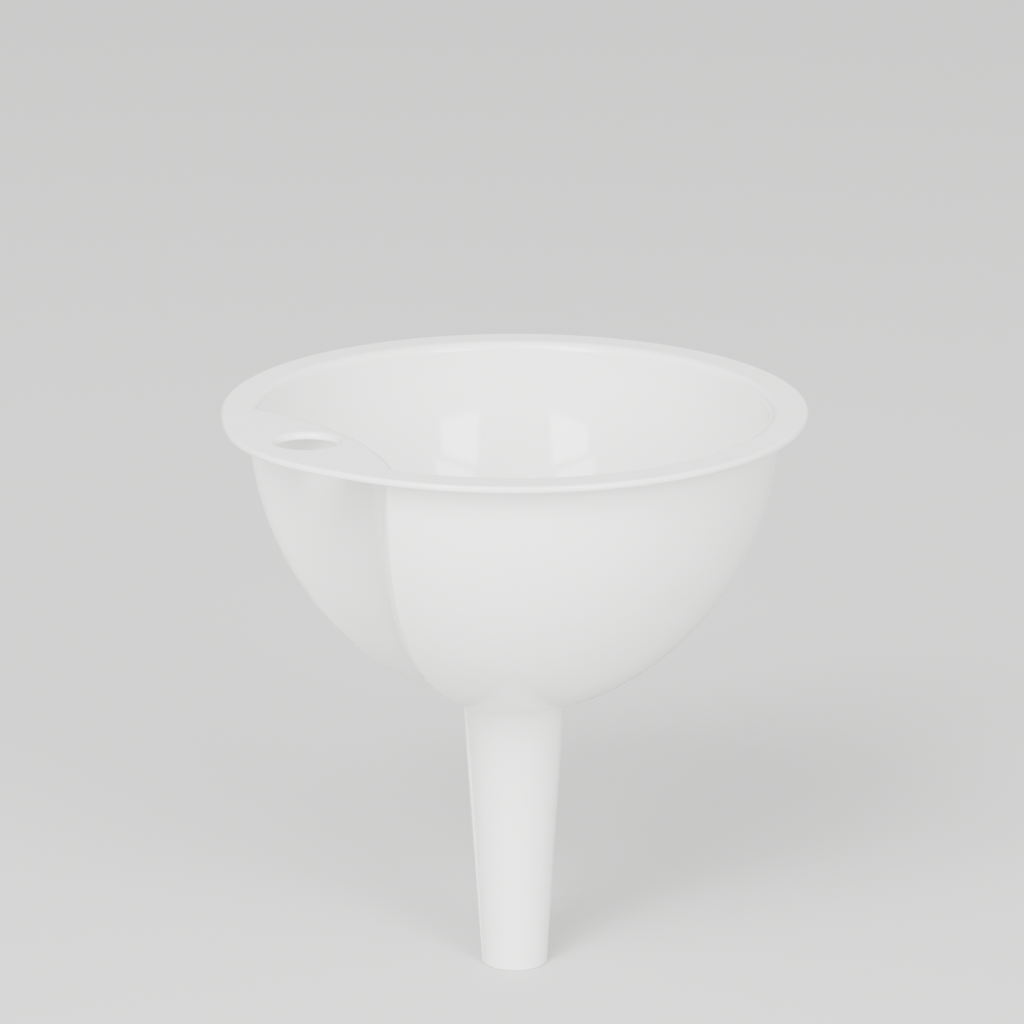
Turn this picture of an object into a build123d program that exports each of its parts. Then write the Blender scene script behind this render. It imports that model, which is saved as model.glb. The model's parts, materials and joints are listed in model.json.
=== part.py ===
from build123d import *
from math import cos, radians, sin
import os

# Kitchen funnel: a bowl on a tapered spout, with a flat rim that widens into a hanging tab.
# It is moulded in one go; each piece here is one of the moulding's walls, closed and face to face
# with its neighbours.
# Origin at the centre of the spout's tip, +Z up, the hanging tab towards -X. Millimetres.

# driving sizes
overall_height = 120.3
rim_diameter = 120.0
rim_thickness = 1.5
rim_edge_round = 0.45
opening_diameter = 106.0
wall = 1.5                      # bowl and grip recess
bowl_depth = 64.1               # rim top down to where the bowl's outside would reach the axis

spout_root_diameter = 20.4      # outside, level with the bottom of the bowl
spout_tip_diameter = 13.6       # outside
spout_wall = 1.4

tab_reach = 40.2                # from the axis to the middle of the tab's inner edge
tab_edge_radius = 71.2          # the inner edge is an arc that bulges into the opening
tab_overhang = 1.8              # how far the tab stands out past the rim
tab_overhang_spread = 50.0      # degrees of the rim that it takes up
hanging_hole_diameter = 13.0
hanging_hole_margin = 2.4       # from the tab's inner edge to the hole

recess_depth = 64.7             # rim top down to where the recess's outside would reach the axis

air_rib_spread = 32.0           # degrees of the spout's girth
air_rib_root_height = 0.6       # how far it stands off the spout where it leaves the bowl
air_rib_tip_height = 0.1

# how the curves bend: the first number sets how long a curve stays upright under the rim, and
# the second how flat it runs in at the bottom
bowl_bend = (2.05, 1.82)
recess_bend = (3.0, 1.63)
curve_stations = 9

# worked out from the sizes above
rim_radius = rim_diameter / 2
opening_radius = opening_diameter / 2
rim_top = overall_height
rim_underside = rim_top - rim_thickness
bowl_bottom = rim_top - bowl_depth
spout_root_radius = spout_root_diameter / 2
spout_tip_radius = spout_tip_diameter / 2
tab_axis_distance = tab_reach + tab_edge_radius
overhang_half_chord = rim_radius * sin(radians(tab_overhang_spread / 2))
overhang_rise = rim_radius + tab_overhang - rim_radius * cos(radians(tab_overhang_spread / 2))
overhang_radius = (overhang_half_chord**2 + overhang_rise**2) / (2 * overhang_rise)
hanging_hole_x = -(tab_reach + hanging_hole_margin + hanging_hole_diameter / 2)
clear_of_all = 2 * rim_diameter     # long enough to cut right through any piece


def hollow_curve(radius, depth, bend):
    """Points of a curve that starts upright at the rim and runs in flat to the axis."""
    fall, fullness = bend
    points = []
    for station in range(curve_stations + 1):
        share = station / curve_stations
        drop = depth * (1 - (1 - share) ** 2)
        reach = radius * (1 - (drop / depth) ** fall) ** (1 / fullness)
        points.append((reach, rim_top - drop))
    return points


def bowl_form(radius, depth):
    """A solid as large as the bowl, rounded to the given size."""
    with BuildPart() as form:
        with BuildSketch(Plane.XZ):
            with BuildLine():
                side = Spline(*hollow_curve(radius, depth, bowl_bend), tangents=((0, -1), (-1, 0)))
                Polyline(side @ 1, (0, rim_top), side @ 0)
            make_face()
        revolve(axis=Axis.Z)
    return form.part


def recess_form(reach, depth):
    """All that lies under the tab and outside a face that curves round an upright axis beyond the rim."""
    foot = rim_top - depth
    with BuildPart() as form:
        with BuildSketch(Plane.XZ):
            with BuildLine():
                points = [(-x, z) for x, z in hollow_curve(reach, depth, recess_bend)]
                face = Spline(*points, tangents=((0, -1), (1, 0)))
                Polyline(
                    face @ 1,
                    (0, foot - clear_of_all),
                    (-tab_axis_distance, foot - clear_of_all),
                    (-tab_axis_distance, rim_top),
                    face @ 0,
                )
            make_face()
        revolve(axis=Axis((-tab_axis_distance, 0, 0), (0, 0, 1)))
    return form.part


def spout_radius(height):
    """Outside radius of the spout at a height over its tip."""
    return spout_tip_radius + (spout_root_radius - spout_tip_radius) * height / bowl_bottom


def spout_form(height, thinner=0.0):
    """A solid taper as large as the spout, or thinner, from its tip up to a height."""
    with BuildPart() as form:
        with BuildSketch(Plane.XZ):
            with BuildLine():
                Polyline(
                    (0, 0),
                    (spout_tip_radius - thinner, 0),
                    (spout_radius(height) - thinner, height),
                    (0, height),
                    close=True,
                )
            make_face()
        revolve(axis=Axis.Z)
    return form.part


def air_rib_form(height):
    """The raised strip on the spout and all of the spout behind it, from the tip up to a height."""
    start = Plane.XZ.rotated((0, 0, 180 - air_rib_spread / 2))
    with BuildPart() as form:
        with BuildSketch(start):
            with BuildLine():
                Polyline(
                    (0, 0),
                    (spout_tip_radius + air_rib_tip_height, 0),
                    (spout_radius(height) + air_rib_root_height, height),
                    (0, height),
                    close=True,
                )
            make_face()
        revolve(axis=Axis.Z, revolution_arc=air_rib_spread)
    return form.part


bowl_outside = bowl_form(opening_radius + wall, bowl_depth)
bowl_inside = bowl_form(opening_radius, bowl_depth - wall)
recess_outside = recess_form(tab_reach + wall, recess_depth)
recess_inside = recess_form(tab_reach, recess_depth - wall)
spout_reach = rim_top - min(bowl_depth, recess_depth) + spout_root_radius
spout_bore = spout_form(spout_reach, thinner=spout_wall)
under_rim = Plane.XY.offset(rim_underside)

# bowl: open at the rim and at the spout, and cut away where the grip recess takes its place
with BuildPart() as bowl:
    add(bowl_outside)
    add(bowl_inside, mode=Mode.SUBTRACT)
    add(recess_inside, mode=Mode.SUBTRACT)
    add(spout_bore, mode=Mode.SUBTRACT)
    split(bisect_by=under_rim, keep=Keep.BOTTOM)
bowl.part.label = "bowl"

# grip recess: a wall that curves into the bowl under the tab, so that a finger fits behind the rim
with BuildPart() as grip_recess:
    add(recess_inside)
    add(recess_outside, mode=Mode.SUBTRACT)
    add(bowl_outside, mode=Mode.INTERSECT)
    add(spout_bore, mode=Mode.SUBTRACT)
    split(bisect_by=under_rim, keep=Keep.BOTTOM)
grip_recess.part.label = "grip_recess"

# the plan of the tab: out from its inner edge, between the places where that meets the opening
with BuildSketch(Plane.XY.offset(rim_underside)) as tab_plan:
    with Locations((-tab_axis_distance, 0)):
        Circle(tab_edge_radius)
    with BuildLine():
        meet_x = (opening_radius**2 + tab_axis_distance**2 - tab_edge_radius**2) / (2 * tab_axis_distance)
        meet_y = (opening_radius**2 - meet_x**2) ** 0.5
        outward = 2 * rim_radius / opening_radius
        Polyline(
            (0, 0),
            (-meet_x * outward, meet_y * outward),
            (-meet_x * outward, -meet_y * outward),
            close=True,
        )
    make_face(mode=Mode.INTERSECT)

# hanging tab: flush with the rim on both faces, and a little prouder, with a round hole near its
# inner edge
with BuildPart() as hanging_tab:
    with BuildSketch(Plane.XY.offset(rim_underside)):
        Circle(rim_radius)
        with Locations((overhang_radius - rim_radius - tab_overhang, 0)):
            Circle(overhang_radius)
    extrude(amount=rim_thickness)
    fillet(hanging_tab.edges(), radius=rim_edge_round)
    extrude(tab_plan.sketch, amount=rim_thickness, mode=Mode.INTERSECT)
    with Locations((hanging_hole_x, 0, rim_top)):
        Hole(hanging_hole_diameter / 2)
hanging_tab.part.label = "hanging_tab"

# rim: a flat ring round the rest of the opening, its outer edge rounded
with BuildPart() as rim:
    with BuildSketch(Plane.XY.offset(rim_underside)):
        Circle(rim_radius)
    extrude(amount=rim_thickness)
    fillet(rim.edges(), radius=rim_edge_round)
    with BuildSketch(Plane.XY.offset(rim_underside)):
        Circle(opening_radius)
    extrude(amount=rim_thickness, mode=Mode.SUBTRACT)
    extrude(tab_plan.sketch, amount=rim_thickness, mode=Mode.SUBTRACT)
rim.part.label = "rim"

# the underside that the spout and its rib run up to, as one solid
with BuildPart() as underside:
    add(bowl_outside)
    add(recess_outside, mode=Mode.SUBTRACT)

# spout: a tapered tube whose top end fits the underside of the bowl and of the recess
with BuildPart() as spout:
    add(spout_form(spout_reach))
    add(spout_bore, mode=Mode.SUBTRACT)
    add(underside.part, mode=Mode.SUBTRACT)
spout.part.label = "spout"

# air rib: a raised strip down the spout under the tab, which keeps a bottle's neck from sealing
with BuildPart() as air_rib:
    add(air_rib_form(spout_reach))
    add(spout_form(spout_reach), mode=Mode.SUBTRACT)
    add(underside.part, mode=Mode.SUBTRACT)
air_rib.part.label = "air_rib"

os.makedirs("parts", exist_ok=True)
for piece in (bowl, grip_recess, hanging_tab, rim, spout, air_rib):
    export_step(piece.part, f"parts/{piece.part.label}.step")
    print(piece.part.label, len(piece.part.solids()), "solid,", round(piece.part.volume), "mm3")
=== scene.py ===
import bpy
import json
import math
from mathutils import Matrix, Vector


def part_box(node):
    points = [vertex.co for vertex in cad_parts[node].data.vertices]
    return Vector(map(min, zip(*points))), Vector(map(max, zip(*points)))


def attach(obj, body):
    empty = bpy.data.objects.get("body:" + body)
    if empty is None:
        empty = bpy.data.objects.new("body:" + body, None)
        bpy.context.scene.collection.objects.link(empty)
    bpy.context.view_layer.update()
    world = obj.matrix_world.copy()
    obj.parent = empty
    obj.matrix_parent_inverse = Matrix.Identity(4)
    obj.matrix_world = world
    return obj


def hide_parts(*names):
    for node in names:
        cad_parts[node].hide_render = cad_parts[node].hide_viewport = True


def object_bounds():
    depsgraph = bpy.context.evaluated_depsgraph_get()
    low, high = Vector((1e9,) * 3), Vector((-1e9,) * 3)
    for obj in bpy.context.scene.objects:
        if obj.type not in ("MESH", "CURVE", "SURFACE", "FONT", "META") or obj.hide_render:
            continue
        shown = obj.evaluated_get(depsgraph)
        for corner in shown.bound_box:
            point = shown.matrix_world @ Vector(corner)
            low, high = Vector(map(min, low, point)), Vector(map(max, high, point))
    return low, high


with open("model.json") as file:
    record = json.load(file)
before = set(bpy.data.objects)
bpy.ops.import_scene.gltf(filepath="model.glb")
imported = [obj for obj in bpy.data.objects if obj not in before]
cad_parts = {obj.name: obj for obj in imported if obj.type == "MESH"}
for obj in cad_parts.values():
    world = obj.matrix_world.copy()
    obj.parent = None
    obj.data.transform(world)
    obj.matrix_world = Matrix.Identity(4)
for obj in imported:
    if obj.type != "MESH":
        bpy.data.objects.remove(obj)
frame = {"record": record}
cadLow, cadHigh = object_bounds()
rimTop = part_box("rim")[1].z
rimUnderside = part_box("rim")[0].z
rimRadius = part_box("rim")[1].x
tabEnd = -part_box("hanging_tab")[0].x
mounts = {m["name"]: m for m in frame["record"]["mounts"]}
holeX = mounts["hanging_hole"]["pos_m"][0]
mm = 0.001
weld = 0.002 * mm              # points closer than this become one


# hand tools

def clearSelection():
    if bpy.context.object and bpy.context.object.mode != "OBJECT":
        bpy.ops.object.mode_set(mode="OBJECT")
    bpy.ops.object.select_all(action="DESELECT")


def pick(piece):
    clearSelection()
    bpy.context.view_layer.objects.active = piece
    piece.select_set(True)


def settle(name):
    # the place goes into the mesh, so that the object sits at the origin
    piece = bpy.context.object
    piece.name = piece.data.name = name
    bpy.ops.object.transform_apply(location=True, rotation=True, scale=True)
    return piece


def drawLine(points):
    # a chain of edges through the points, left selected in edit mode
    clearSelection()
    bpy.ops.mesh.primitive_plane_add(size=mm, location=points[0])
    bpy.ops.object.mode_set(mode="EDIT")
    bpy.ops.mesh.merge(type="CENTER")
    for here, there in zip(points, points[1:]):
        move = [b - a for a, b in zip(here, there)]
        bpy.ops.mesh.extrude_vertices_move(TRANSFORM_OT_translate={"value": move})
    bpy.ops.mesh.select_all(action="SELECT")


def closeUp():
    bpy.ops.mesh.select_all(action="SELECT")
    bpy.ops.mesh.remove_doubles(threshold=weld)
    bpy.ops.mesh.fill_holes(sides=0)
    bpy.ops.mesh.select_all(action="SELECT")
    bpy.ops.mesh.normals_make_consistent(inside=False)
    bpy.ops.object.mode_set(mode="OBJECT")


def turnedForm(name, outline, steps, axisX=0.0, fromAngle=0.0, sweep=360.0):
    # outline is (distance from the upright axis, height)
    turn = math.radians(fromAngle)
    drawLine([(axisX + r * math.cos(turn), r * math.sin(turn), z) for r, z in outline])
    bpy.ops.mesh.spin(steps=steps, angle=math.radians(sweep), center=(axisX, 0, 0), axis=(0, 0, 1))
    closeUp()
    return settle(name)


def combine(piece, other, how="DIFFERENCE"):
    pick(piece)
    trim = piece.modifiers.new("trim", "BOOLEAN")
    trim.operation = how
    trim.solver = "EXACT"
    trim.object = other
    bpy.ops.object.modifier_apply(modifier="trim")
    bpy.data.objects.remove(other)


def finishSurface(piece, sharpAngle):
    pick(piece)
    bpy.ops.object.shade_smooth_by_angle(angle=math.radians(sharpAngle))
    even = piece.modifiers.new("even", "WEIGHTED_NORMAL")
    even.mode = "FACE_AREA_WITH_ANGLE"
    even.keep_sharp = True
    bpy.ops.object.modifier_apply(modifier="even")
    print(piece.name, "has", len(piece.data.polygons), "faces")


def roundedCorner(centreReach, centreHeight, radius, start, stop, steps):
    # points of a small round, in degrees from straight out
    points = []
    for step in range(steps + 1):
        turn = math.radians(start + (stop - start) * step / steps)
        reach = centreReach + radius * math.cos(turn)
        points.append((reach, centreHeight + radius * math.sin(turn)))
    return points


def curveReach(drop, reach, depth, bend):
    # distance from the axis at a depth under the rim's top
    fall, fullness = bend
    return reach * max(0, 1 - (drop / depth) ** fall) ** (1 / fullness)


def hangingCurve(reach, depth, bend, rings, startDrop=0.0):
    # upright under the rim, then in to the axis, with its rings closer towards the bottom
    points = []
    for ring in range(rings + 1):
        drop = startDrop + (depth - startDrop) * (1 - (1 - ring / rings) ** 2)
        points.append((curveReach(drop, reach, depth, bend), rimTop - drop))
    return points


def turnedTowards(place, target):
    # how a camera or a lamp is turned to face a point
    line = [b - a for a, b in zip(place, target)]
    return math.atan2(math.hypot(line[0], line[1]), -line[2]), 0, math.atan2(-line[0], line[1])


# camera

view = {
    "place": (-0.6176, -0.9799, 0.4342),
    "aim": (-0.0036174, -0.0046803, 0.0995778),
    "lens": 206.6,
    "sensorWidth": 36,
    "farthest": 30,
}
clearSelection()
bpy.ops.object.camera_add(location=view["place"])
camera = bpy.context.object
camera.name = "camera"
camera.data.lens = view["lens"]
camera.data.sensor_width = view["sensorWidth"]
camera.data.clip_end = view["farthest"]
camera.rotation_euler = turnedTowards(view["place"], view["aim"])
bpy.context.scene.camera = camera
print("camera placed")


# bowl, grip recess and spout: their sizes come first, because each cuts into the others

bowl = {
    "outsideReach": 54.5 * mm,
    "insideReach": 52.0 * mm,
    "outsideDepth": 64.1 * mm,
    "insideDepth": 62.6 * mm,
    "bend": (2.05, 1.82),
    "rings": 44,
    "segments": 360,
    "sharpAngle": 25,          # degrees past which an edge stays sharp
}
recess = {
    "axisX": -111.4 * mm,      # its wall curves round an upright axis out here
    "outsideReach": 41.7 * mm,
    "insideReach": 39.2 * mm,
    "outsideDepth": 64.7 * mm,
    "insideDepth": 63.2 * mm,
    "bend": (3.0, 1.63),
    "segments": 480,
    "edgeReach": 47.05 * mm,   # a narrow flat takes the sharpness off its edge with the bowl
    "edgeDepth": 61.1 * mm,
    "edgeBend": (2.11, 2.28),
    "edgeEnd": 50.5 * mm,      # below the rim's top, where the flat has run out
}
opening = {
    "round": 1.8 * mm,         # its inner edge, all the way round
    "roundSteps": 12,
}
spout = {
    "tipRadius": 6.8 * mm,
    "rootRadius": 10.2 * mm,
    "rootHeight": 56.2 * mm,
    "topHeight": 58.2 * mm,    # hidden inside the bowl's wall
    "wall": 1.4 * mm,
    "tipRound": 0.35 * mm,
    "outerTipSteps": 5,
    "innerTipSteps": 4,
    "segments": 180,
    "sharpAngle": 30,
}
cutter = {
    # how far the shapes that cut run past what they cut
    "overPlate": 8 * mm,
    "overOpening": 6 * mm,
    "pastHole": 3 * mm,
    "underRecess": 20 * mm,
    "underTip": 4 * mm,
    "boreTop": 75 * mm,
    "edgeOut": 90 * mm,
    "edgeSide": 60 * mm,
}


def spoutReach(height):
    # outside radius at a height over the tip
    tip, root = spout["tipRadius"], spout["rootRadius"]
    return tip + (root - tip) * height / spout["rootHeight"]


def behindRecess(reach, depth, lip=0.0):
    # all that lies beyond the recess's wall, seen from inside; a lip makes the opening's edge round
    far = -recess["axisX"]
    curve = hangingCurve(reach, depth, recess["bend"], bowl["rings"], lip)
    high = rimTop + cutter["overPlate"]
    outline = [(0, high), (far - reach - lip, high)]
    if lip:
        rounded = roundedCorner(reach + lip, rimTop - lip, lip, 90, 180, opening["roundSteps"])
        curve = rounded[:-1] + curve
    outline += [(far - r, z) for r, z in curve]
    low = rimTop - depth - cutter["underRecess"]
    outline += [(far, low), (0, low)]
    return turnedForm("cutter", outline, recess["segments"], recess["axisX"])


def hollowOfBowl():
    # the space inside the funnel, up and out through its opening
    lip = opening["round"]
    reach = bowl["insideReach"]
    rounded = roundedCorner(reach + lip, rimTop - lip, lip, 90, 180, opening["roundSteps"])
    curve = hangingCurve(reach, bowl["insideDepth"], bowl["bend"], bowl["rings"], lip)
    high = rimTop + cutter["overOpening"]
    outline = [(0, high), (reach + lip, high)] + rounded[:-1] + curve
    hollow = turnedForm("hollow", outline, bowl["segments"])
    combine(hollow, behindRecess(recess["insideReach"], recess["insideDepth"], lip))
    return hollow


def behindEdge():
    # all that lies beyond a face that runs straight across under the tab
    reach, depth, bend = recess["edgeReach"], recess["edgeDepth"], recess["edgeBend"]
    curve = hangingCurve(reach, depth, bend, bowl["rings"])
    curve = [(r, z) for r, z in curve if rimTop - z < recess["edgeEnd"]]
    high, low = rimTop + cutter["overPlate"], 0
    out, side = cutter["edgeOut"], cutter["edgeSide"]
    corners = [(curve[0][0], high)] + curve + [(curve[-1][0], low), (out, low), (out, high)]
    drawLine([(-r, -side, z) for r, z in corners])
    bpy.ops.mesh.edge_face_add()
    bpy.ops.mesh.extrude_region_move(TRANSFORM_OT_translate={"value": (0, 2 * side, 0)})
    closeUp()
    return settle("cutter")


# rim and hanging tab

rim = {
    "segments": 720,
    "edgeRound": 0.65 * mm,
    "edgeSteps": 6,
    "edgeAngle": 60,           # only edges sharper than this are rounded
    "tabSpread": 29.0,         # degrees each side over which the tab stands out past the rim
    "holeRadius": 6.2 * mm,
    "holeLip": 1.1 * mm,
    "holeUnderLip": 0.3 * mm,
    "holeUnderLipSteps": 4,
    "holeSegments": 128,
}


def rimDisc():
    # one flat plate with the tab's overhang; the opening and the hole are cut later
    clearSelection()
    bpy.ops.mesh.primitive_circle_add(
        vertices=rim["segments"], radius=rimRadius, fill_type="NGON", location=(0, 0, rimUnderside)
    )
    disc = settle("rimDisc")
    for vertex in disc.data.vertices:
        turned = abs(math.degrees(math.atan2(vertex.co.y, -vertex.co.x)))
        if turned < rim["tabSpread"]:
            fade = math.cos(math.pi / 2 * turned / rim["tabSpread"]) ** 2
            proud = (tabEnd - rimRadius) * fade
            vertex.co.xy *= 1 + proud / rimRadius
    pick(disc)
    bpy.ops.object.mode_set(mode="EDIT")
    bpy.ops.mesh.select_all(action="SELECT")
    lift = (0, 0, rimTop - rimUnderside)
    bpy.ops.mesh.extrude_region_move(TRANSFORM_OT_translate={"value": lift})
    bpy.ops.mesh.select_all(action="SELECT")
    bpy.ops.mesh.normals_make_consistent(inside=False)
    bpy.ops.mesh.select_mode(type="EDGE")
    bpy.ops.mesh.select_all(action="DESELECT")
    bpy.ops.mesh.edges_select_sharp(sharpness=math.radians(rim["edgeAngle"]))
    bpy.ops.mesh.bevel(offset=rim["edgeRound"], segments=rim["edgeSteps"], profile=0.5)
    bpy.ops.mesh.select_mode(type="VERT")
    bpy.ops.object.mode_set(mode="OBJECT")
    return disc


def hangingHole():
    lip, underLip, reach = rim["holeLip"], rim["holeUnderLip"], rim["holeRadius"]
    high, low = rimTop + cutter["pastHole"], rimUnderside - cutter["pastHole"]
    underSteps = rim["holeUnderLipSteps"]
    outline = [(0, high), (reach + lip, high)]
    outline += roundedCorner(reach + lip, rimTop - lip, lip, 90, 180, opening["roundSteps"])
    outline += roundedCorner(
        reach + underLip, rimUnderside + underLip, underLip, 180, 270, underSteps
    )
    outline += [(reach + underLip, low), (0, low)]
    return turnedForm("cutter", outline, rim["holeSegments"], holeX)


def spoutBore():
    low, high, wall = -cutter["underTip"], cutter["boreTop"], spout["wall"]
    outline = [
        (0, low),
        (spoutReach(low) - wall, low),
        (spoutReach(high) - wall, high),
        (0, high),
    ]
    return turnedForm("cutter", outline, spout["segments"])


# bowl, grip recess, rim and tab

def makeBowlAndRim():
    reach, depth = bowl["outsideReach"], bowl["outsideDepth"]
    startDrop = rimTop - rimUnderside
    curve = hangingCurve(reach, depth, bowl["bend"], bowl["rings"], startDrop)
    inRim = rimUnderside + startDrop / 2
    outline = [(0, inRim), (curve[0][0], inRim)] + curve
    shell = turnedForm("bowlAndRim", outline, bowl["segments"])
    combine(shell, behindRecess(recess["outsideReach"], recess["outsideDepth"]))
    combine(shell, behindEdge())
    print("outside of the bowl shaped")
    combine(shell, rimDisc(), "UNION")
    combine(shell, hollowOfBowl())
    combine(shell, hangingHole())
    combine(shell, spoutBore())
    finishSurface(shell, bowl["sharpAngle"])
    return shell


bowlAndRim = makeBowlAndRim()
print("bowl, grip recess, rim and tab made")


# spout and the air rib down its side

airRib = {
    "spread": 32.0,            # degrees of the spout's girth
    "rootProud": 0.6 * mm,
    "tipProud": 0.1 * mm,
    "sunk": 0.45 * mm,         # how far its back lies inside the spout's wall
    "start": 0.25 * mm,        # over the spout's tip
    "edgeRound": 0.14 * mm,
    "edgeSteps": 3,
    "edgeAngle": 40,
    "segments": 32,
    "sharpAngle": 35,
}


def makeSpout():
    top, tipRound, wall = spout["topHeight"], spout["tipRound"], spout["wall"]
    tip = spout["tipRadius"]
    outline = [(spoutReach(top) - wall, top), (spoutReach(top), top)]
    outer, inner = spout["outerTipSteps"], spout["innerTipSteps"]
    outline += roundedCorner(tip - tipRound, tipRound, tipRound, 0, -90, outer)
    half = tipRound / 2
    outline += roundedCorner(tip - wall + half, half, half, 270, 180, inner)
    outline += [outline[0]]
    tube = turnedForm("spoutTube", outline, spout["segments"])
    finishSurface(tube, spout["sharpAngle"])
    return tube


def makeAirRib():
    top, low, sunk = spout["topHeight"], airRib["start"], airRib["sunk"]
    topReach, lowReach = spoutReach(top), spoutReach(low)
    outline = [
        (topReach - sunk, top),
        (topReach + airRib["rootProud"], top),
        (lowReach + airRib["tipProud"], low),
        (lowReach - sunk, low),
        (topReach - sunk, top),
    ]
    spread = airRib["spread"]
    strip = turnedForm("airRib", outline, airRib["segments"], 0, 180 - spread / 2, spread)
    pick(strip)
    soft = strip.modifiers.new("soft", "BEVEL")
    soft.width = airRib["edgeRound"]
    soft.segments = airRib["edgeSteps"]
    soft.limit_method = "ANGLE"
    soft.angle_limit = math.radians(airRib["edgeAngle"])
    bpy.ops.object.modifier_apply(modifier="soft")
    finishSurface(strip, airRib["sharpAngle"])
    return strip


spoutTube = makeSpout()
airRibStrip = makeAirRib()
print("spout and air rib made")


# white plastic

class Wire:
    # a socket in a material, which can be added, taken away and multiplied
    def __init__(self, tree, socket=None):
        self.tree = tree
        self.socket = socket

    def add(self, kind, settings=None, sockets=None, output=0):
        made = self.tree.nodes.new("ShaderNode" + kind)
        for setting, value in (settings or {}).items():
            setattr(made, setting, value)
        for socket, value in (sockets or {}).items():
            if isinstance(value, Wire):
                self.tree.links.new(value.socket, made.inputs[socket])
            else:
                made.inputs[socket].default_value = value
        return Wire(self.tree, made.outputs[output]) if made.outputs else None

    def maths(self, operation, first, second=0.0):
        return self.add("Math", {"operation": operation}, {0: first, 1: second})

    def __add__(self, other):
        return self.maths("ADD", self, other)

    def __radd__(self, other):
        return self.maths("ADD", other, self)

    def __sub__(self, other):
        return self.maths("SUBTRACT", self, other)

    def __rsub__(self, other):
        return self.maths("SUBTRACT", other, self)

    def __mul__(self, other):
        return self.maths("MULTIPLY", self, other)

    def __rmul__(self, other):
        return self.maths("MULTIPLY", other, self)


plastic = {
    "white": (0.79, 0.80, 0.78, 1),
    "milky": (0.83, 0.84, 0.822, 1),
    "cloud": {"Scale": 22.0, "Detail": 3.0},       # where it runs from white to milky
    "roughness": 0.09,
    "smear": {"Scale": 140.0, "Detail": 4.0, "Roughness": 0.6},
    "smearSpread": 0.05,
    "handledRoughness": 0.08,
    "handledUnderRim": 1 * mm,
    "handledOverTip": 14 * mm,
    "swell": {"Scale": 70.0, "Detail": 1.0},
    "swellDepth": 0.02 * mm,
    "grain": {"Scale": 1900.0, "Detail": 2.0},
    "grainDepth": 0.0012 * mm,
    "lightBend": 1.49,
    "depth": 0.12,             # share of the light that goes into the plastic and out again
    "depthReach": 1.5 * mm,
    "depthColour": (1.0, 0.95, 0.85),
}


def makePlastic():
    material = bpy.data.materials.new("whitePlastic")
    material.use_nodes = True
    tree = material.node_tree
    tree.nodes.clear()
    start = Wire(tree)
    place = start.add("TexCoord", output="Object")
    height = start.add("SeparateXYZ", {}, {"Vector": place}, output="Z")

    cloud = start.add("TexNoise", {}, {"Vector": place, **plastic["cloud"]})
    factor, first, second, mixed = 0, 6, 7, 2      # the Mix node's places for colours
    colour = start.add("Mix", {"data_type": "RGBA"}, {
        factor: cloud,
        first: plastic["white"],
        second: plastic["milky"],
    }, output=mixed)

    # fingers and jars dull the rim and the spout's tip
    nearRim = start.add("MapRange", {}, {
        "Value": height,
        "From Min": rimUnderside - plastic["handledUnderRim"],
        "From Max": rimTop,
    })
    nearTip = start.add("MapRange", {}, {
        "Value": height,
        "From Min": plastic["handledOverTip"],
        "From Max": 0.0,
    })
    smear = start.add("TexNoise", {}, {"Vector": place, **plastic["smear"]})
    handled = (nearRim + nearTip) * smear * plastic["handledRoughness"]
    roughness = plastic["roughness"] + (smear - 0.5) * plastic["smearSpread"] + handled

    # a slow swell that bends the reflections a little, and a fine grain
    swell = start.add("TexNoise", {}, {"Vector": place, **plastic["swell"]})
    grain = start.add("TexNoise", {}, {"Vector": place, **plastic["grain"]})
    relief = swell * plastic["swellDepth"] + grain * plastic["grainDepth"]
    bump = start.add("Bump", {}, {"Height": relief, "Strength": 1.0, "Distance": 1.0})

    surface = start.add("BsdfPrincipled", {"subsurface_method": "RANDOM_WALK"}, {
        "Base Color": colour,
        "Roughness": roughness,
        "Normal": bump,
        "IOR": plastic["lightBend"],
        "Subsurface Weight": plastic["depth"],
        "Subsurface Radius": plastic["depthColour"],
        "Subsurface Scale": plastic["depthReach"],
    })
    start.add("OutputMaterial", {}, {"Surface": surface})
    return material


whitePlastic = makePlastic()
parts = {
    bowlAndRim: ("bowl", "grip_recess", "rim", "hanging_tab"),
    spoutTube: ("spout",),
    airRibStrip: ("air_rib",),
}
for piece, nodes in parts.items():
    piece.data.materials.clear()
    piece.data.materials.append(whitePlastic)
    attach(piece, "root")
    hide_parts(*nodes)
print("plastic put on", len(parts), "pieces")


# floor and light

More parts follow.
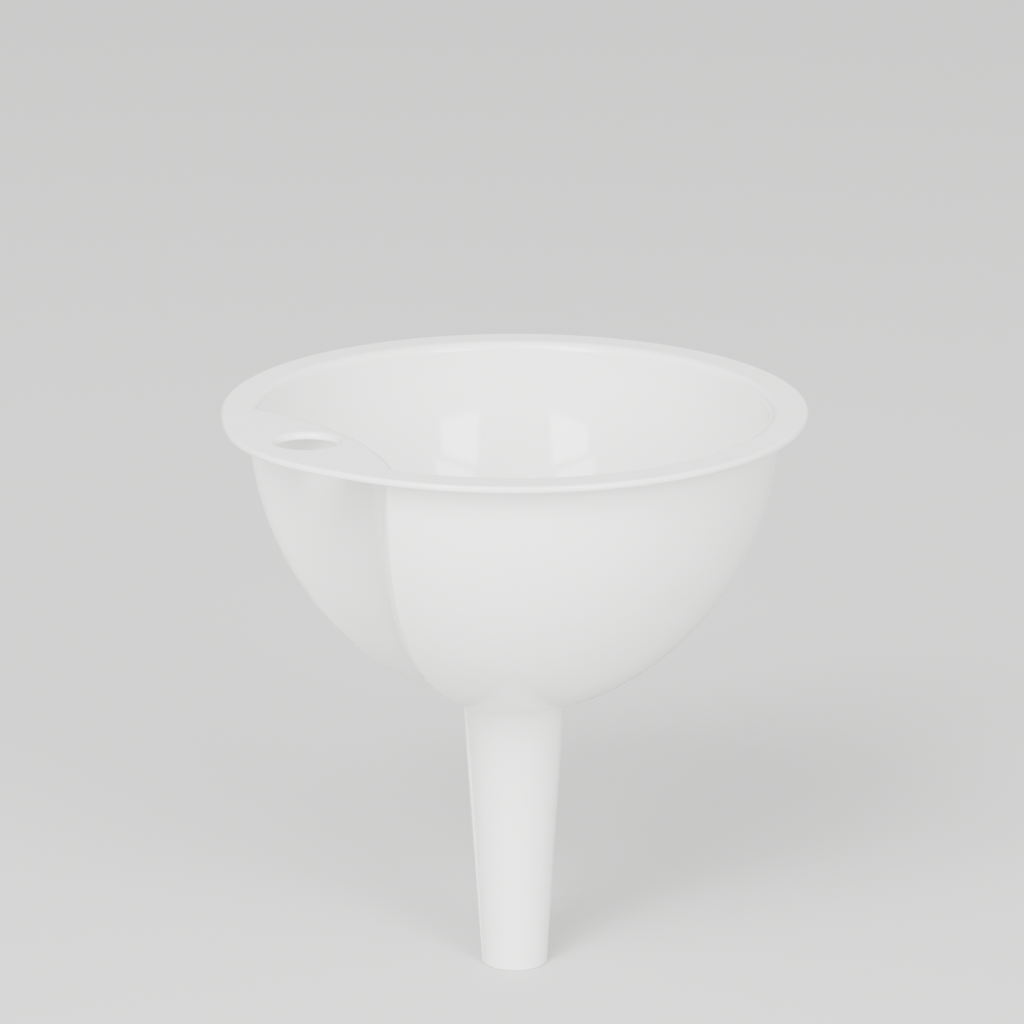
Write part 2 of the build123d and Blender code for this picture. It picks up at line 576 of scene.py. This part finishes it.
studio = {
    "floorSize": 14,
    "floorColour": (0.57, 0.575, 0.565, 1),
    "floorRoughness": 0.75,
    "skyColour": (1.0, 1.0, 0.99, 1),
    "skyStrength": 1.1,
    "wallDistance": 1.5,       # the softboxes stand in a row behind the camera
    "softboxes": {
        # sideways and up from the funnel, width, height, lean outwards in degrees, watts
        "softboxRightLow": (0.80, 0.46, 0.62, 0.60, 9, 28),
        "softboxRightHigh": (1.04, 1.13, 0.72, 0.62, 9, 27),
        "softboxLeftLow": (-0.80, 0.46, 0.62, 0.60, -9, 27),
        "softboxLeftHigh": (-1.04, 1.13, 0.72, 0.62, -9, 27),
    },
    "lamps": {
        # degrees round from the camera and up, distance, width, height, watts
        "lampLeft": (-22, 45, 2.0, 0.8, 0.8, 38),
        "lampFront": (0, 48, 2.2, 1.6, 0.8, 27),
        "lampBack": (180, 30, 2.2, 2.0, 1.2, 9),
    },
}


def makeFloor():
    clearSelection()
    bpy.ops.mesh.primitive_plane_add(size=studio["floorSize"], location=(0, 0, 0))
    floor = settle("floor")
    material = bpy.data.materials.new("palePaper")
    material.use_nodes = True
    shader = material.node_tree.nodes["Principled BSDF"]
    shader.inputs["Base Color"].default_value = studio["floorColour"]
    shader.inputs["Roughness"].default_value = studio["floorRoughness"]
    floor.data.materials.append(material)


def addSoftbox(name, place, turned, width, height, power):
    bpy.ops.object.light_add(type="AREA", location=place, rotation=turned)
    lamp = bpy.context.object
    lamp.name = name
    lamp.data.shape = "RECTANGLE"
    lamp.data.size = width
    lamp.data.size_y = height
    lamp.data.energy = power


def lightStudio():
    world = bpy.data.worlds.new("studio")
    bpy.context.scene.world = world
    world.use_nodes = True
    sky = world.node_tree.nodes["Background"]
    sky.inputs["Color"].default_value = studio["skyColour"]
    sky.inputs["Strength"].default_value = studio["skyStrength"]
    facing = math.atan2(view["place"][1], view["place"][0])
    far = studio["wallDistance"]
    for name, (across, up, width, height, lean, power) in studio["softboxes"].items():
        place = (
            far * math.cos(facing) - across * math.sin(facing),
            far * math.sin(facing) + across * math.cos(facing),
            rimTop + up,
        )
        # upright, turned to face the funnel's side of the room
        turned = (math.radians(90), math.radians(lean), facing + math.radians(90))
        addSoftbox(name, place, turned, width, height, power)
    middle = (0, 0, (rimTop + cadLow.z) / 2)
    for name, (around, up, distance, width, height, power) in studio["lamps"].items():
        turn, rise = facing + math.radians(around), math.radians(up)
        place = (
            distance * math.cos(rise) * math.cos(turn),
            distance * math.cos(rise) * math.sin(turn),
            middle[2] + distance * math.sin(rise),
        )
        addSoftbox(name, place, turnedTowards(place, middle), width, height, power)


makeFloor()
lightStudio()
print("floor and light set")
